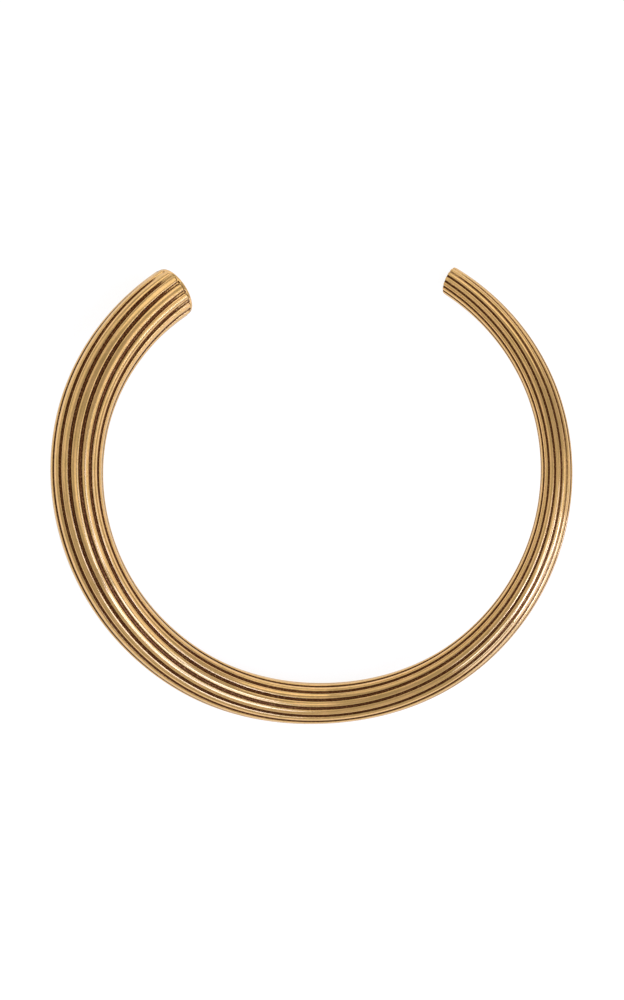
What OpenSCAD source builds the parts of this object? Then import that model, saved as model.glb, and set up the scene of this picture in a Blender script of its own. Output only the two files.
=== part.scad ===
// Open collar necklace: one ribbed tube of antiqued brass that tapers from a
// thick end to a thin one, bent round the neck and closed at both ends.
// It lies as it would by itself, on its front and its two ends, with its
// sides arched up off the surface.
// Millimetres. +Z is up, +Y points to the open back and +X to the thin side.

/* [Collar] */
// Distance from the middle of the neck to the tube's centre line
bend_r = 67.5; // [62:0.5:74]
// Diameter over the ribs at the thick end
thick_d = 15.5; // [12:0.1:18]
// Diameter over the ribs at the thin end
thin_d = 8.3; // [6:0.1:10]
// Height of the arches at the sides, measured under the tube
arch_h = 16.5; // [6:0.5:20]
// Where the thick end stands, in degrees round the neck from +X
thick_turn = 128; // [120:1:140]
// Where the thin end stands, counted on past the front
thin_turn = 415.5; // [405:0.5:425]

/* [Ribs] */
// Ribs round the tube
rib_count = 15; // [12:1:17]
// Mouth of a groove, as a share of the spacing of the ribs
mouth_share = 0.34; // [0.28:0.01:0.45]
// Floor of a groove, as a share of the spacing of the ribs
floor_share = 0.22; // [0.1:0.01:0.26]
// Depth of a groove, as a share of the tube's radius
groove_share = 0.06; // [0.03:0.005:0.1]
// Fall of a rib from its crown to its shoulders, as a share of the radius
fall_share = 0.01; // [0:0.002:0.02]

/* [Ends] */
// Smooth rim past the ribs at the thick end
rim_w = 1; // [0.8:0.1:2]
// Step down from the ribs to that rim
rim_step = 0.15; // [0.05:0.05:0.3]
// Rounding of the edge of the thick end's face
thick_round = 0.6; // [0.2:0.1:0.7]
// Rounding of the edge of the thin end's face
thin_round = 0.3; // [0.1:0.1:0.6]

/* [Fineness] */
// Rings of points along the ribs
ring_count = 62; // [40:1:66]

/* [Hidden] */

// The tube at evenly spaced sections, from the thick end to the thin one, with
// one more section past each end that sets how the tube runs out there.
//   reach  distance of the centre line past bend_r
//   swell  diameter, from thin_d at 0 to thick_d at 1
//   arch   height under the tube, from the surface at 0 to arch_h at 1
//   roll   turn of the ribs about the centre line, in degrees outwards
REACH = 0;
SWELL = 1;
ARCH = 2;
ROLL = 3;
sections = [
    [-2.50,  1.01, -1.72,   24],
    [-1.00,  1.00, -0.066,   7],
    [ 0.70,  0.99,  0.78,   -9],
    [ 0.50,  0.87,  0.90,  -12],
    [ 0.15,  0.73,  0.24,    0],
    [-0.80,  0.50,  0.012,  11],
    [-0.10,  0.34,  0.60,    1],
    [ 0.25,  0.17,  1.00,   -9],
    [ 0.60,  0.08,  0.78,   -8],
    [ 0.05,  0.00, -0.022,   7],
    [-0.45, -0.08, -1.16,   22]
];

// Half of the short way, in degrees, over which the tube's direction is taken
step_turn = 0.05;
// Way, in millimetres, over which the grooves run out at the rim
run_out = 0.15;
// Way, in millimetres, from the last full ring to the thin end's face
last_way = 2;
// Angle between the rings that round an end's edge
round_step = 30;

// One groove and the rib beside it, from the middle of the groove on: the place
// as a share of the spacing, and the drop as a share of the tube's radius
pitch = 360 / rib_count;
profile = [
    [-floor_share / 2, groove_share],
    [floor_share / 2, groove_share],
    [mouth_share / 2, fall_share],
    [0.5, 0],
    [1 - mouth_share / 2, fall_share]
];
ring_points = rib_count * len(profile);

function unit(v) = v / norm(v);

// Smooth curve through four values, at share f of the way from the second to the third
function curve(v, f) =
    v[1] + f * (v[2] - v[0]) / 2
    + f * f * (v[0] - 2.5 * v[1] + 2 * v[2] - 0.5 * v[3])
    + f * f * f * (1.5 * v[1] - 0.5 * v[0] - 1.5 * v[2] + 0.5 * v[3]);

// A column of the sections' table, anywhere round the collar
function at(column, turn) =
    let (
        spans = len(sections) - 3,
        place = (turn - thick_turn) / (thin_turn - thick_turn) * spans,
        first = max(0, min(spans - 1, floor(place)))
    )
    curve([for (row = [0:3]) sections[first + row][column]], place - first);

function tube_r(turn) = (thin_d + (thick_d - thin_d) * at(SWELL, turn)) / 2;

function centre(turn) =
    let (reach = bend_r + at(REACH, turn))
    [reach * cos(turn), reach * sin(turn), tube_r(turn) + arch_h * at(ARCH, turn)];

function along(turn) = unit(centre(turn + step_turn) - centre(turn - step_turn));

// Degrees round the neck for a way of s millimetres along the tube
function turn_of(s) = s / bend_r * 180 / PI;

// One ring of points. Each ring is [turn, inset, ribbed], where inset takes it in
// at a rounded edge and ribbed is 0 on the smooth rim.
function ring_at(ring) =
    let (
        turn = ring[0],
        middle = centre(turn),
        out = unit(cross(along(turn), [0, 0, 1])),
        up = cross(out, along(turn)),
        r = tube_r(turn),
        roll = at(ROLL, turn)
    )
    [
        for (rib = [0:rib_count - 1], p = profile)
        let (
            a = roll + (rib + p[0]) * pitch,
            drop = ring[2] == 1 ? r * p[1] : rim_step
        )
        middle + (r - ring[1] - drop) * (cos(a) * up + sin(a) * out)
    ];

// Rings round the edge of an end's face: [way in from the face, inset]
function edge_rings(edge_r) =
    [for (a = [0:round_step:90]) [edge_r * (1 - cos(a)), edge_r * (1 - sin(a))]];

thick_edge = edge_rings(thick_round);
thin_edge = edge_rings(thin_round);
first_turn = thick_turn + turn_of(rim_w + run_out);
last_turn = thin_turn - turn_of(last_way);
rings = [
    for (e = thick_edge) [thick_turn + turn_of(e[0]), e[1], 0],
    [thick_turn + turn_of(rim_w), 0, 0],
    for (i = [0:ring_count - 1])
        [first_turn + (last_turn - first_turn) * i / (ring_count - 1), 0, 1],
    for (i = [len(thin_edge) - 1:-1:0])
        [thin_turn - turn_of(thin_edge[i][0]), thin_edge[i][1], 1]
];

points = [for (ring = rings) each ring_at(ring)];
faces = [
    [for (j = [0:ring_points - 1]) j],
    for (i = [0:len(rings) - 2], j = [0:ring_points - 1])
        let (
            next = (j + 1) % ring_points,
            here = i * ring_points,
            ahead = here + ring_points
        )
        each [[here + j, ahead + j, ahead + next], [here + j, ahead + next, here + next]],
    [for (j = [1:ring_points]) len(rings) * ring_points - j]
];

// The origin is under the middle of the collar's box
function middle_of(axis) =
    (min([for (p = points) p[axis]]) + max([for (p = points) p[axis]])) / 2;
origin = [middle_of(0), middle_of(1), min([for (p = points) p[2]])];

module collar() {
    color("#b48d55")
        translate(-origin)
            polyhedron(points, faces, convexity = 8);
}

collar();
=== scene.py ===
# An open collar necklace in antiqued brass, lying on a white table and seen from straight above.
import math
import bmesh
import bpy
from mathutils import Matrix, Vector


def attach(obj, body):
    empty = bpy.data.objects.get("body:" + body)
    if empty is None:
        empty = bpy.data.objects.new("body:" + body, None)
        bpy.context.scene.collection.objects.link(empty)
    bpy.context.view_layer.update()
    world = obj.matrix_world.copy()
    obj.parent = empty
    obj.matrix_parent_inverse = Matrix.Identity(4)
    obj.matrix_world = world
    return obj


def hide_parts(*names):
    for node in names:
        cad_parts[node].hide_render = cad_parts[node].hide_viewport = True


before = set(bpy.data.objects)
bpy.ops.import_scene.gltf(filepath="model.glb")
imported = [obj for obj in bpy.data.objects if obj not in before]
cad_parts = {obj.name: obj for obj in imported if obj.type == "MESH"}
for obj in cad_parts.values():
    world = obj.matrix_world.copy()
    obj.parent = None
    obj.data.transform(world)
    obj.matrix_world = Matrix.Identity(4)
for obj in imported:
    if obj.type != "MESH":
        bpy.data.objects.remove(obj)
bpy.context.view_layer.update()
mm = 0.001

# The tube as it is bent, in millimetres and in degrees round the neck from +X.
# Each section: reach past the bend radius, swell from thin to thick, arch above the table, roll of the ribs.
collar = {
    "bendRadius": 67.5,
    "thickDiameter": 15.5,
    "thinDiameter": 8.3,
    "archHeight": 16.5,
    "thickTurn": 128,
    "thinTurn": 415.5,
    "neckMiddle": (1.646, 6.818, 0.0),  # where the bend's middle lies in the part's frame
    "sections": [
        (-2.50, 1.01, -1.72, 24), (-1.00, 1.00, -0.066, 7), (0.70, 0.99, 0.78, -9),
        (0.50, 0.87, 0.90, -12), (0.15, 0.73, 0.24, 0), (-0.80, 0.50, 0.012, 11),
        (-0.10, 0.34, 0.60, 1), (0.25, 0.17, 1.00, -9), (0.60, 0.08, 0.78, -8),
        (0.05, 0.00, -0.022, 7), (-0.45, -0.08, -1.16, 22),
    ],
    "pathPoints": 400,
}

# One groove and half of a rib, from the groove's middle to the rib's crown:
# place as a share of the spacing, drop as a share of the radius, and the patina it holds.
ribs = {
    "count": 15,
    "straightRadius": 6.0,
    "profile": [
        (0.0, 0.058, 0.55), (0.07, 0.060, 0.68), (0.105, 0.059, 1.0), (0.127, 0.053, 1.0),
        (0.147, 0.0445, 0.9), (0.168, 0.0355, 0.55), (0.195, 0.0265, 0.15), (0.225, 0.0185, 0.0),
        (0.27, 0.0105, 0.0), (0.34, 0.0045, 0.0), (0.5, 0.0, 0.0),
    ],
    "shoulder": 0.13,  # where the rib's wall begins, as a share of the spacing
    "shoulderWidth": 0.34,
    "ringCuts": (16, 17),  # the tube is cut this often, and each piece of it again
}

# The two ends, in millimetres: a plain rim past the ribs at the thick end, rounded edges at both.
ends = {
    "rimWidth": 1.0,
    "rimDrop": 0.15,
    "stepLength": 0.14,
    "stepPatina": 0.55,  # the dark line along the step, as a share of full patina
    "ringBeforeStep": 0.15,
    "ringsAfterStep": (0.2, 1.2),
    "cornerLength": 0.55,  # how far a rib's end is rounded back at its corners
    "thickRound": 0.55,
    "thinRound": 0.3,
    "thinCut": 6.2,  # turn of the thin end's face on the straight tube; 9 degrees once the tube is thin
    "faceInset": 0.6,
    "cleanInside": 0.9,  # the faces are clean from this far inside the tube's radius
}

# Where polishing and wear took patina off; in the groove of frontGrooveWearAndReflection it is partly a painted
# reflection, thinned where the key boxes' highlight falls. Each place: how much of it went, over which way from an
# end, on a groove's floor or walls (shares of the spacing), and on which flank (its turn, then cosines from it).
wear = {
    "thickFloors": {"amount": 0.55, "fromThick": (1.5, 9), "floor": (0.06, 0.11)},
    "thickWalls": {"amount": 0.5, "fromThick": (3, 16), "walls": (0.11, 0.14)},
    "runOut": {"amount": 0.95, "fromThick": (2.5, 6), "flank": (43, 0.86, 0.95)},
    "thinTip": {"amount": 0.7, "fromThin": (1, 7), "flank": (75, 0.3, 0.8)},
    "thinSide": {"amount": 0.3, "fromThin": (20, 110), "flank": (75, 0.5, 0.9)},
    "frontWalls": {"amount": 0.4, "fromThin": (102, 122), "pastThin": (50, 70), "walls": (0.12, 0.15),
                   "flank": (12, 0.6, 0.8)},
    # partly wear, partly painted reflection: patina thinned in one groove on the right front flank, where the key
    # boxes mirror, so that groove reads lighter
    "frontGrooveWearAndReflection": {"amount": 0.35, "fromThin": (102, 122), "pastThin": (50, 70), "flank": (50, 0.93, 0.98)},
}


def sectionValue(column, turn):
    # smooth curve through the four nearest sections
    rows = collar["sections"]
    spans = len(rows) - 3
    place = (turn - collar["thickTurn"]) / (collar["thinTurn"] - collar["thickTurn"]) * spans
    first = max(0, min(spans - 1, math.floor(place)))
    a, b, c, d = (rows[first + k][column] for k in range(4))
    f = place - first
    return (b + f * (c - a) / 2 + f ** 2 * (a - 2.5 * b + 2 * c - 0.5 * d)
            + f ** 3 * (1.5 * b - 0.5 * a - 1.5 * c + 0.5 * d))


def tubeRadius(turn):
    spread = collar["thickDiameter"] - collar["thinDiameter"]
    return (collar["thinDiameter"] + spread * sectionValue(1, turn)) / 2


def tubeMiddle(turn):
    reach = collar["bendRadius"] + sectionValue(0, turn)
    angle = math.radians(turn)
    height = tubeRadius(turn) + collar["archHeight"] * sectionValue(2, turn)
    return Vector((reach * math.cos(angle), reach * math.sin(angle), height)) + Vector(collar["neckMiddle"])


def deselectAll():
    for obj in bpy.context.selected_objects:
        obj.select_set(False)


def makePath():
    # the tube's centre line, with its thickness as radius and the turning of the ribs as tilt
    count = collar["pathPoints"]
    data = bpy.data.curves.new("centreLine", "CURVE")
    data.dimensions = "3D"
    data.twist_mode = "Z_UP"
    data.use_radius = True
    data.use_stretch = False
    data.use_deform_bounds = False
    line = data.splines.new("POLY")
    line.points.add(count)
    length, last = 0, None
    for i, point in enumerate(line.points):
        turn = collar["thickTurn"] + (collar["thinTurn"] - collar["thickTurn"]) * i / count
        place = tubeMiddle(turn)
        point.co = (*(place * mm), 1)
        point.radius = tubeRadius(turn) / ribs["straightRadius"]
        point.tilt = math.radians(sectionValue(3, turn))
        length += (place - last).length if last else 0
        last = place
    path = bpy.data.objects.new("centreLine", data)
    bpy.context.scene.collection.objects.link(path)
    return path, length


def pickVerts(obj, rule):
    # selects only the vertices that the rule holds for: their lengthwise line, and their place in millimetres
    bpy.ops.mesh.select_all(action="DESELECT")
    work = bmesh.from_edit_mesh(obj.data)
    line = work.verts.layers.int["line"]
    for vert in work.verts:
        vert.select_set(rule(vert[line], vert.co / mm))
    work.select_flush(True)
    bmesh.update_edit_mesh(obj.data)


def pickEdges(obj, rule):
    bpy.ops.mesh.select_all(action="DESELECT")
    work = bmesh.from_edit_mesh(obj.data)
    for edge in work.edges:
        edge.select_set(rule(edge.verts[0].co / mm, edge.verts[1].co / mm))
    bmesh.update_edit_mesh(obj.data)


def pickFaces(obj, rule):
    bpy.ops.mesh.select_all(action="DESELECT")
    work = bmesh.from_edit_mesh(obj.data)
    for face in work.faces:
        face.select_set(rule(face.normal))
    bmesh.update_edit_mesh(obj.data)


def cutAcross(places):
    for x in places:
        bpy.ops.mesh.select_all(action="SELECT")
        bpy.ops.mesh.bisect(plane_co=(x * mm, 0, 0), plane_no=(1, 0, 0))


half = ribs["profile"]
wholeProfile = half + [(1 - place, drop, dark) for place, drop, dark in reversed(half[1:-1])]
sides = ribs["count"] * len(wholeProfile)
pitch = 360 / ribs["count"]


def turnOf(co):
    # degrees round the straight tube, from its top outwards
    return math.degrees(math.atan2(-co.y, co.z)) % 360


def acrossRib(co):
    # share of the spacing from the nearest groove's middle
    share = turnOf(co) / pitch % 1
    return min(share, 1 - share)


def ease(value, start, stop):
    share = max(0, min(1, (value - start) / (stop - start)))
    return share * share * (3 - 2 * share)


def onFlank(co, middle, least, full):
    return ease(math.cos(math.radians(turnOf(co) - middle)), least, full)


def takenOff(place, co, length):
    # the share of the patina that one place of wear takes off at a point
    share = acrossRib(co)
    taken = place["amount"]
    if "fromThick" in place:
        taken *= 1 - ease(co.x, *place["fromThick"])
    if "fromThin" in place:
        taken *= 1 - ease(length - co.x, *place["fromThin"])
    if "pastThin" in place:
        taken *= ease(length - co.x, *place["pastThin"])
    if "floor" in place:
        taken *= 1 - ease(share, *place["floor"])
    if "walls" in place:
        taken *= ease(share, *place["walls"])
    if "flank" in place:
        taken *= onFlank(co, *place["flank"])
    return taken


def heldPatina(co, length):
    # patina by place across the rib, less what each place of wear took off
    share = acrossRib(co)
    held = 0
    for (a, _, darkA), (b, _, darkB) in zip(half, half[1:]):
        if a <= share <= b:
            held = darkA + (darkB - darkA) * (share - a) / (b - a)
    for place in wear.values():
        held *= 1 - takenOff(place, co, length)
    return held


def stepBack(share):
    # rounds a rib's end: nothing at its crown, all of cornerLength at its shoulders, nothing in the groove
    if share < ribs["shoulder"]:
        return 0
    return ends["cornerLength"] * (1 - math.sqrt(1 - min(1, (0.5 - share) / ribs["shoulderWidth"]) ** 2))


def makeCollar():
    path, length = makePath()
    radius = ribs["straightRadius"]
    near = 0.01  # millimetres within which a point counts as being there
    bpy.ops.mesh.primitive_cylinder_add(
        vertices=sides, radius=radius * mm, depth=length * mm, end_fill_type="NGON",
        location=(length / 2 * mm, 0, 0), rotation=(0, math.pi / 2, 0))
    tube = bpy.context.object
    tube.name = "collar_brass"
    bpy.ops.object.transform_apply(location=True, rotation=True, scale=True)
    bpy.ops.object.mode_set(mode="EDIT")

    # rounded edges of the two end faces, and a ring inside each face
    bpy.ops.mesh.select_mode(type="EDGE")
    for face, size in ((0, ends["thickRound"]), (length, ends["thinRound"])):
        pickEdges(tube, lambda a, b: abs(a.x - face) < near and abs(b.x - face) < near)
        bpy.ops.mesh.bevel(offset=size * mm, segments=4, profile=0.5, affect="EDGES")
    bpy.ops.mesh.select_mode(type="FACE")
    pickFaces(tube, lambda normal: abs(normal.x) > 0.999)
    bpy.ops.mesh.inset(thickness=ends["faceInset"] * mm)

    # rings at the rim and at the start of the ribs
    rim = ends["rimWidth"]
    start = rim + ends["stepLength"]
    closeRing, farRing = ends["ringsAfterStep"]
    rings = [rim - ends["ringBeforeStep"], rim, start, start + closeRing]
    cutAcross(rings + [start + farRing])
    bpy.ops.object.mode_set(mode="OBJECT")
    line = tube.data.attributes.new("line", "INT", "POINT")
    line.data.foreach_set("value", [round(turnOf(v.co) / 360 * sides) % sides for v in tube.data.vertices])
    bpy.ops.object.mode_set(mode="EDIT")
    bpy.ops.mesh.select_mode(type="VERT")
    pickVerts(tube, lambda line, co: co.x < rim + near)
    low = 1 - ends["rimDrop"] / radius
    bpy.ops.transform.resize(value=(1, low, low), center_override=(0, 0, 0))

    # each lengthwise line goes to its place across the rib and down to its depth
    kinds = len(wholeProfile)
    for kind, (place, drop, _) in enumerate(wholeProfile):
        pickVerts(tube, lambda line, co: line % kinds == kind)
        swing = math.radians(place - kind / kinds) * pitch
        bpy.ops.transform.rotate(value=-swing, orient_axis="X", center_override=(0, 0, 0))
        pickVerts(tube, lambda line, co: line % kinds == kind and co.x > start - near)
        bpy.ops.transform.resize(value=(1, 1 - drop, 1 - drop), center_override=(0, 0, 0))
        pickVerts(tube, lambda line, co: line % kinds == kind and min(abs(co.x - x) for x in rings) < near)
        bpy.ops.transform.translate(value=(stepBack(min(place, 1 - place)) * mm, 0, 0))

    # the thin end's face is turned towards the neck
    pickVerts(tube, lambda line, co: co.x > length - ends["thinRound"] - near)
    bpy.ops.transform.rotate(value=-math.radians(ends["thinCut"]), orient_axis="Z",
                             center_override=(length * mm, 0, 0))

    # rings all along, close enough for the bend
    bpy.ops.mesh.select_mode(type="EDGE")
    shortest = 10  # millimetres: an edge this long still has to be cut
    for cuts in ribs["ringCuts"]:
        pickEdges(tube, lambda a, b: abs(a.x - b.x) > shortest)
        bpy.ops.mesh.subdivide(number_cuts=cuts)
    bpy.ops.object.mode_set(mode="OBJECT")
    tube.data.attributes.remove(tube.data.attributes["line"])

    # the straight tube's place and patina stay with each point for the material
    straight, dark = [], []
    grooveDepth = half[0][1]
    clean = (1 - grooveDepth) * (radius - ends["cleanInside"])
    for vert in tube.data.vertices:
        co = vert.co / mm
        straight.extend(co)
        held = heldPatina(co, length)
        back = co.x - rim - stepBack(acrossRib(co))
        if back < start - rim + near:  # the rim is clean but for a dark line along the step
            held = ends["stepPatina"] * (1 - onFlank(co, *wear["runOut"]["flank"])) if back > -near else 0
        if math.hypot(co.y, co.z) < clean:
            held = 0
        dark.append(held)
    tube.data.attributes.new("straight", "FLOAT_VECTOR", "POINT").data.foreach_set("vector", straight)
    tube.data.attributes.new("patina", "FLOAT", "POINT").data.foreach_set("value", dark)

    bend = tube.modifiers.new("bend", "CURVE")
    bend.object = path
    bend.deform_axis = "POS_X"
    bpy.ops.object.modifier_apply(modifier="bend")
    bpy.data.objects.remove(path)
    bpy.ops.object.shade_smooth()
    for face in tube.data.polygons:
        face.use_smooth = len(face.vertices) < 5
    print("collar bent:", round(length, 1), "mm along its middle,", len(tube.data.vertices), "points")
    return tube


def linear(hexColour):
    # an sRGB hex colour as the linear colour that nodes take
    parts = [int(hexColour[i:i + 2], 16) / 255 for i in (0, 2, 4)]
    return (*[c / 12.92 if c <= 0.04045 else ((c + 0.055) / 1.055) ** 2.4 for c in parts], 1)


def addNode(tree, kind, settings={}, links={}):
    # adds a node; settings name its properties or sockets, links name the sockets that others feed
    node = tree.nodes.new(kind)
    for name, value in settings.items():
        if isinstance(name, int) or name in node.inputs:
            node.inputs[name].default_value = value
        else:
            setattr(node, name, value)
    for name, source in links.items():
        tree.links.new(source, node.inputs[name])
    return node


brass = {
    "ribs": "ebb974",
    "ribsDull": "dcb066",
    "edgeTint": "cec6b7",  # seen along its surface, brass stays duller and warmer than a mirror
    "patina": "5d3318",
    "patinaDeep": "341707",
    "patinaFleck": "a07446",
    "smoothest": 0.095,  # roughness of the satin polish, from here
    "roughest": 0.215,  # to here
    "patinaRoughness": 0.38,
    "lineDepth": 0.02,  # millimetres
    "lacquer": 0.85,
    "lacquerRoughness": 0.12,
    "lacquerIor": 1.6,
    # each noise: cells per millimetre along the ribs and round them, shift, detail, roughness
    "noises": {
        "lines": (0.12, 2.4, 0, 3.0, 0.6),  # polishing lines, 0.4 mm apart; real ones are too fine to show
        "edge": (1.6, 3.0, 0, 4.0, 0.65),  # the patina's edge wanders over 0.3 to 0.6 mm
        "blotches": (0.25, 0.6, 0, 3.0, 0.6),  # blotches of tone, 2 to 4 mm across
        "grain": (1.3, 3.4, 0, 2.0, 0.7),  # tarnish that the polishing left, 0.3 mm across
        "flecks": (2.6, 3.6, 7, 1.0, 0.6),  # paler flecks in the patina, 0.3 mm across
    },
}


def makeAntiquedBrass():
    # Antiqued brass: dipped dark, then satin polished on the ribs and sealed with a thin clear lacquer.
    # The eye gets warm tan ribs with soft highlights, and dark brown grooves with ragged edges.
    material = bpy.data.materials.new("antiquedBrass")
    material.use_nodes = True
    tree = material.node_tree
    tree.nodes.clear()
    place = addNode(tree, "ShaderNodeAttribute", {"attribute_name": "straight"}).outputs["Vector"]
    held = addNode(tree, "ShaderNodeAttribute", {"attribute_name": "patina"}).outputs["Fac"]
    noise = {}
    for name, (along, around, shift, detail, roughness) in brass["noises"].items():
        space = addNode(tree, "ShaderNodeMapping", {"Location": (shift, 0, 0), "Scale": (along, around, around)},
                        {"Vector": place})
        noise[name] = addNode(tree, "ShaderNodeTexNoise", {"Scale": 1.0, "Detail": detail, "Roughness": roughness},
                              {"Vector": space.outputs[0]}).outputs["Fac"]

    # how far a point is dark: the patina that it holds, with a ragged edge
    ragged = addNode(tree, "ShaderNodeMath", {"operation": "MULTIPLY_ADD", 1: 0.8, 2: -0.4}, {0: noise["edge"]})
    worn = addNode(tree, "ShaderNodeMath", {"operation": "ADD"}, {0: held, 1: ragged.outputs[0]})
    dark = addNode(tree, "ShaderNodeMapRange",
                   {"interpolation_type": "SMOOTHSTEP", "From Min": 0.15, "From Max": 0.55},
                   {"Value": worn.outputs[0]}).outputs[0]

    # the ribs' brass, dull in blotches and speckled with grain
    dull = addNode(tree, "ShaderNodeMapRange", {"From Min": 0.35, "From Max": 0.65}, {"Value": noise["blotches"]})
    polished = addNode(tree, "ShaderNodeMix",
                       {"data_type": "RGBA", 6: linear(brass["ribs"]), 7: linear(brass["ribsDull"])},
                       {0: dull.outputs[0]})
    shade = addNode(tree, "ShaderNodeMapRange", {"From Min": 0.3, "From Max": 0.7, "To Min": 0.87, "To Max": 1.13},
                    {"Value": noise["grain"]})
    speckled = addNode(tree, "ShaderNodeHueSaturation", {},
                       {"Color": polished.outputs[2], "Value": shade.outputs[0]})

    # the patina, deepest in the grooves' corners and flecked
    corners = addNode(tree, "ShaderNodeMapRange", {"From Min": 0.7, "From Max": 0.98}, {"Value": held})
    deep = addNode(tree, "ShaderNodeMix",
                   {"data_type": "RGBA", 6: linear(brass["patina"]), 7: linear(brass["patinaDeep"])},
                   {0: corners.outputs[0]})
    fleck = addNode(tree, "ShaderNodeMapRange", {"From Min": 0.52, "From Max": 0.75, "To Max": 0.75},
                    {"Value": noise["flecks"]})
    grainy = addNode(tree, "ShaderNodeMix", {"data_type": "RGBA", 7: linear(brass["patinaFleck"])},
                     {0: fleck.outputs[0], 6: deep.outputs[2]})
    colour = addNode(tree, "ShaderNodeMix", {"data_type": "RGBA"},
                     {0: dark, 6: speckled.outputs[0], 7: grainy.outputs[2]})

    satin = addNode(tree, "ShaderNodeMapRange",
                    {"From Min": 0.3, "From Max": 0.7, "To Min": brass["smoothest"], "To Max": brass["roughest"]},
                    {"Value": noise["lines"]})
    rough = addNode(tree, "ShaderNodeMix", {3: brass["patinaRoughness"]}, {0: dark, 2: satin.outputs[0]})
    bump = addNode(tree, "ShaderNodeBump", {"Strength": 0.05, "Distance": brass["lineDepth"] * mm},
                   {"Height": noise["lines"]})
    # the lacquer is rubbed off in the grooves
    lacquer = addNode(tree, "ShaderNodeMapRange", {"To Min": brass["lacquer"], "To Max": 0.0}, {"Value": dark})
    shader = addNode(tree, "ShaderNodeBsdfPrincipled",
                     {"Metallic": 1.0, "Specular Tint": linear(brass["edgeTint"]),
                      "Coat Roughness": brass["lacquerRoughness"], "Coat IOR": brass["lacquerIor"]},
                     {"Base Color": colour.outputs[2], "Roughness": rough.outputs[0],
                      "Normal": bump.outputs[0], "Coat Weight": lacquer.outputs[0]})
    addNode(tree, "ShaderNodeOutputMaterial", {}, {"Surface": shader.outputs[0]})
    return material


deselectAll()
tube = makeCollar()
tube.data.materials.append(makeAntiquedBrass())
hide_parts("collar")
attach(tube, "root")
print("brass on the collar")

table = {
    "size": 9.0,  # metres
    "colour": "808080",  # grey, because the glow alone makes it nearly white
    "roughness": 0.6,
    "glow": 0.86,
}


def makeTable():
    # a light table of white acrylic, matt and mostly lit from below, so shadows stay faint
    bpy.ops.mesh.primitive_plane_add(size=table["size"])
    floor = bpy.context.object
    floor.name = "table"
    material = bpy.data.materials.new("whiteAcrylic")
    material.use_nodes = True
    shader = material.node_tree.nodes["Principled BSDF"]
    shader.inputs["Base Color"].default_value = linear(table["colour"])
    shader.inputs["Roughness"].default_value = table["roughness"]
    shader.inputs["Emission Color"].default_value = (1, 1, 1, 1)
    shader.inputs["Emission Strength"].default_value = table["glow"]
    floor.data.materials.append(material)


light = {
    "boxDistance": 1.2,
    "daylight": (0.76, 1.0, 2.0),  # the key boxes are cooler than the room
    # soft boxes: compass angle from +X, angle down from overhead, width and height in metres, brightness
    "keyBoxes": {
        "keyLeft": (315, 50, 0.25, 0.25, 9.0),
        "keyLeftHigh": (315, 35, 0.25, 0.25, 2.8),
        "keyMiddle": (330, 50, 0.25, 0.25, 4.0),
        "keyRight": (345, 65, 0.25, 0.25, 5.6),
        "keyLow": (320, 80, 1.0, 0.4, 1.1),
        "keyTop": (330, 20, 0.25, 0.25, 2.5),
        "keyFront": (285, 35, 0.25, 0.25, 2.6),
        "keySide": (0, 35, 0.25, 0.25, 1.7),
    },
    "whiteBoxes": {
        "front": (262, 60, 0.6, 0.5, 0.1),
        "left": (145, 58, 1.5, 0.6, 0.31),
        "back": (76, 58, 0.9, 0.6, 0.75),
        "right": (0, 58, 0.6, 0.6, 0.6),
    },
    # the room's brightness by angle down from overhead
    "room": {0: 1.4, 15: 0.62, 30: 0.42, 45: 0.59, 60: 0.54, 75: 0.49, 90: 0.49},
}


def makeBoxes(boxes, colour):
    for name, (compass, down, width, height, brightness) in boxes.items():
        data = bpy.data.lights.new(name, "AREA")
        data.shape = "RECTANGLE"
        data.size = width
        data.size_y = height
        data.energy = brightness * math.pi * width * height
        data.color = colour
        lamp = bpy.data.objects.new(name, data)
        bpy.context.scene.collection.objects.link(lamp)
        across, turn = math.radians(down), math.radians(compass)
        towards = Vector((math.sin(across) * math.cos(turn), math.sin(across) * math.sin(turn), math.cos(across)))
        lamp.location = towards * light["boxDistance"]
        lamp.rotation_euler = towards.to_track_quat("Z", "Y").to_euler()
        lamp.visible_camera = False


def makeRoom():
    world = bpy.data.worlds.new("studio")
    bpy.context.scene.world = world
    world.use_nodes = True
    tree = world.node_tree
    seen = addNode(tree, "ShaderNodeTexCoord")
    direction = addNode(tree, "ShaderNodeSeparateXYZ", {}, {0: seen.outputs["Generated"]})
    down = addNode(tree, "ShaderNodeMath", {"operation": "ARCCOSINE"}, {0: direction.outputs["Z"]})
    share = addNode(tree, "ShaderNodeMath", {"operation": "DIVIDE", 1: math.pi / 2}, {0: down.outputs[0]})
    ramp = addNode(tree, "ShaderNodeValToRGB", {}, {"Fac": share.outputs[0]})
    steps = ramp.color_ramp.elements
    while len(steps) < len(light["room"]):
        steps.new(0.5)
    for step, (angle, brightness) in zip(steps, light["room"].items()):
        step.position = angle / 90
        step.color = (brightness, brightness, brightness, 1)
    tree.links.new(ramp.outputs["Color"], tree.nodes["Background"].inputs["Color"])


camera = {
    "place": (0.10, -1.11, 900),  # millimetres
    "lens": 111.4,
    "sensor": 36,
    "nearest": 0.01,  # metres
}


def makeCamera():
    # straight above the collar, 900 mm off the table
    data = bpy.data.cameras.new("camera")
    data.sensor_width = camera["sensor"]
    data.lens = camera["lens"]
    data.clip_start = camera["nearest"]
    seen = bpy.data.objects.new("camera", data)
    seen.location = Vector(camera["place"]) * mm
    bpy.context.scene.collection.objects.link(seen)
    bpy.context.scene.camera = seen


makeTable()
makeBoxes(light["keyBoxes"], light["daylight"])
makeBoxes(light["whiteBoxes"], (1, 1, 1))
makeRoom()
makeCamera()
bpy.context.scene.view_settings.view_transform = "Standard"
print("table, lights and camera in place")
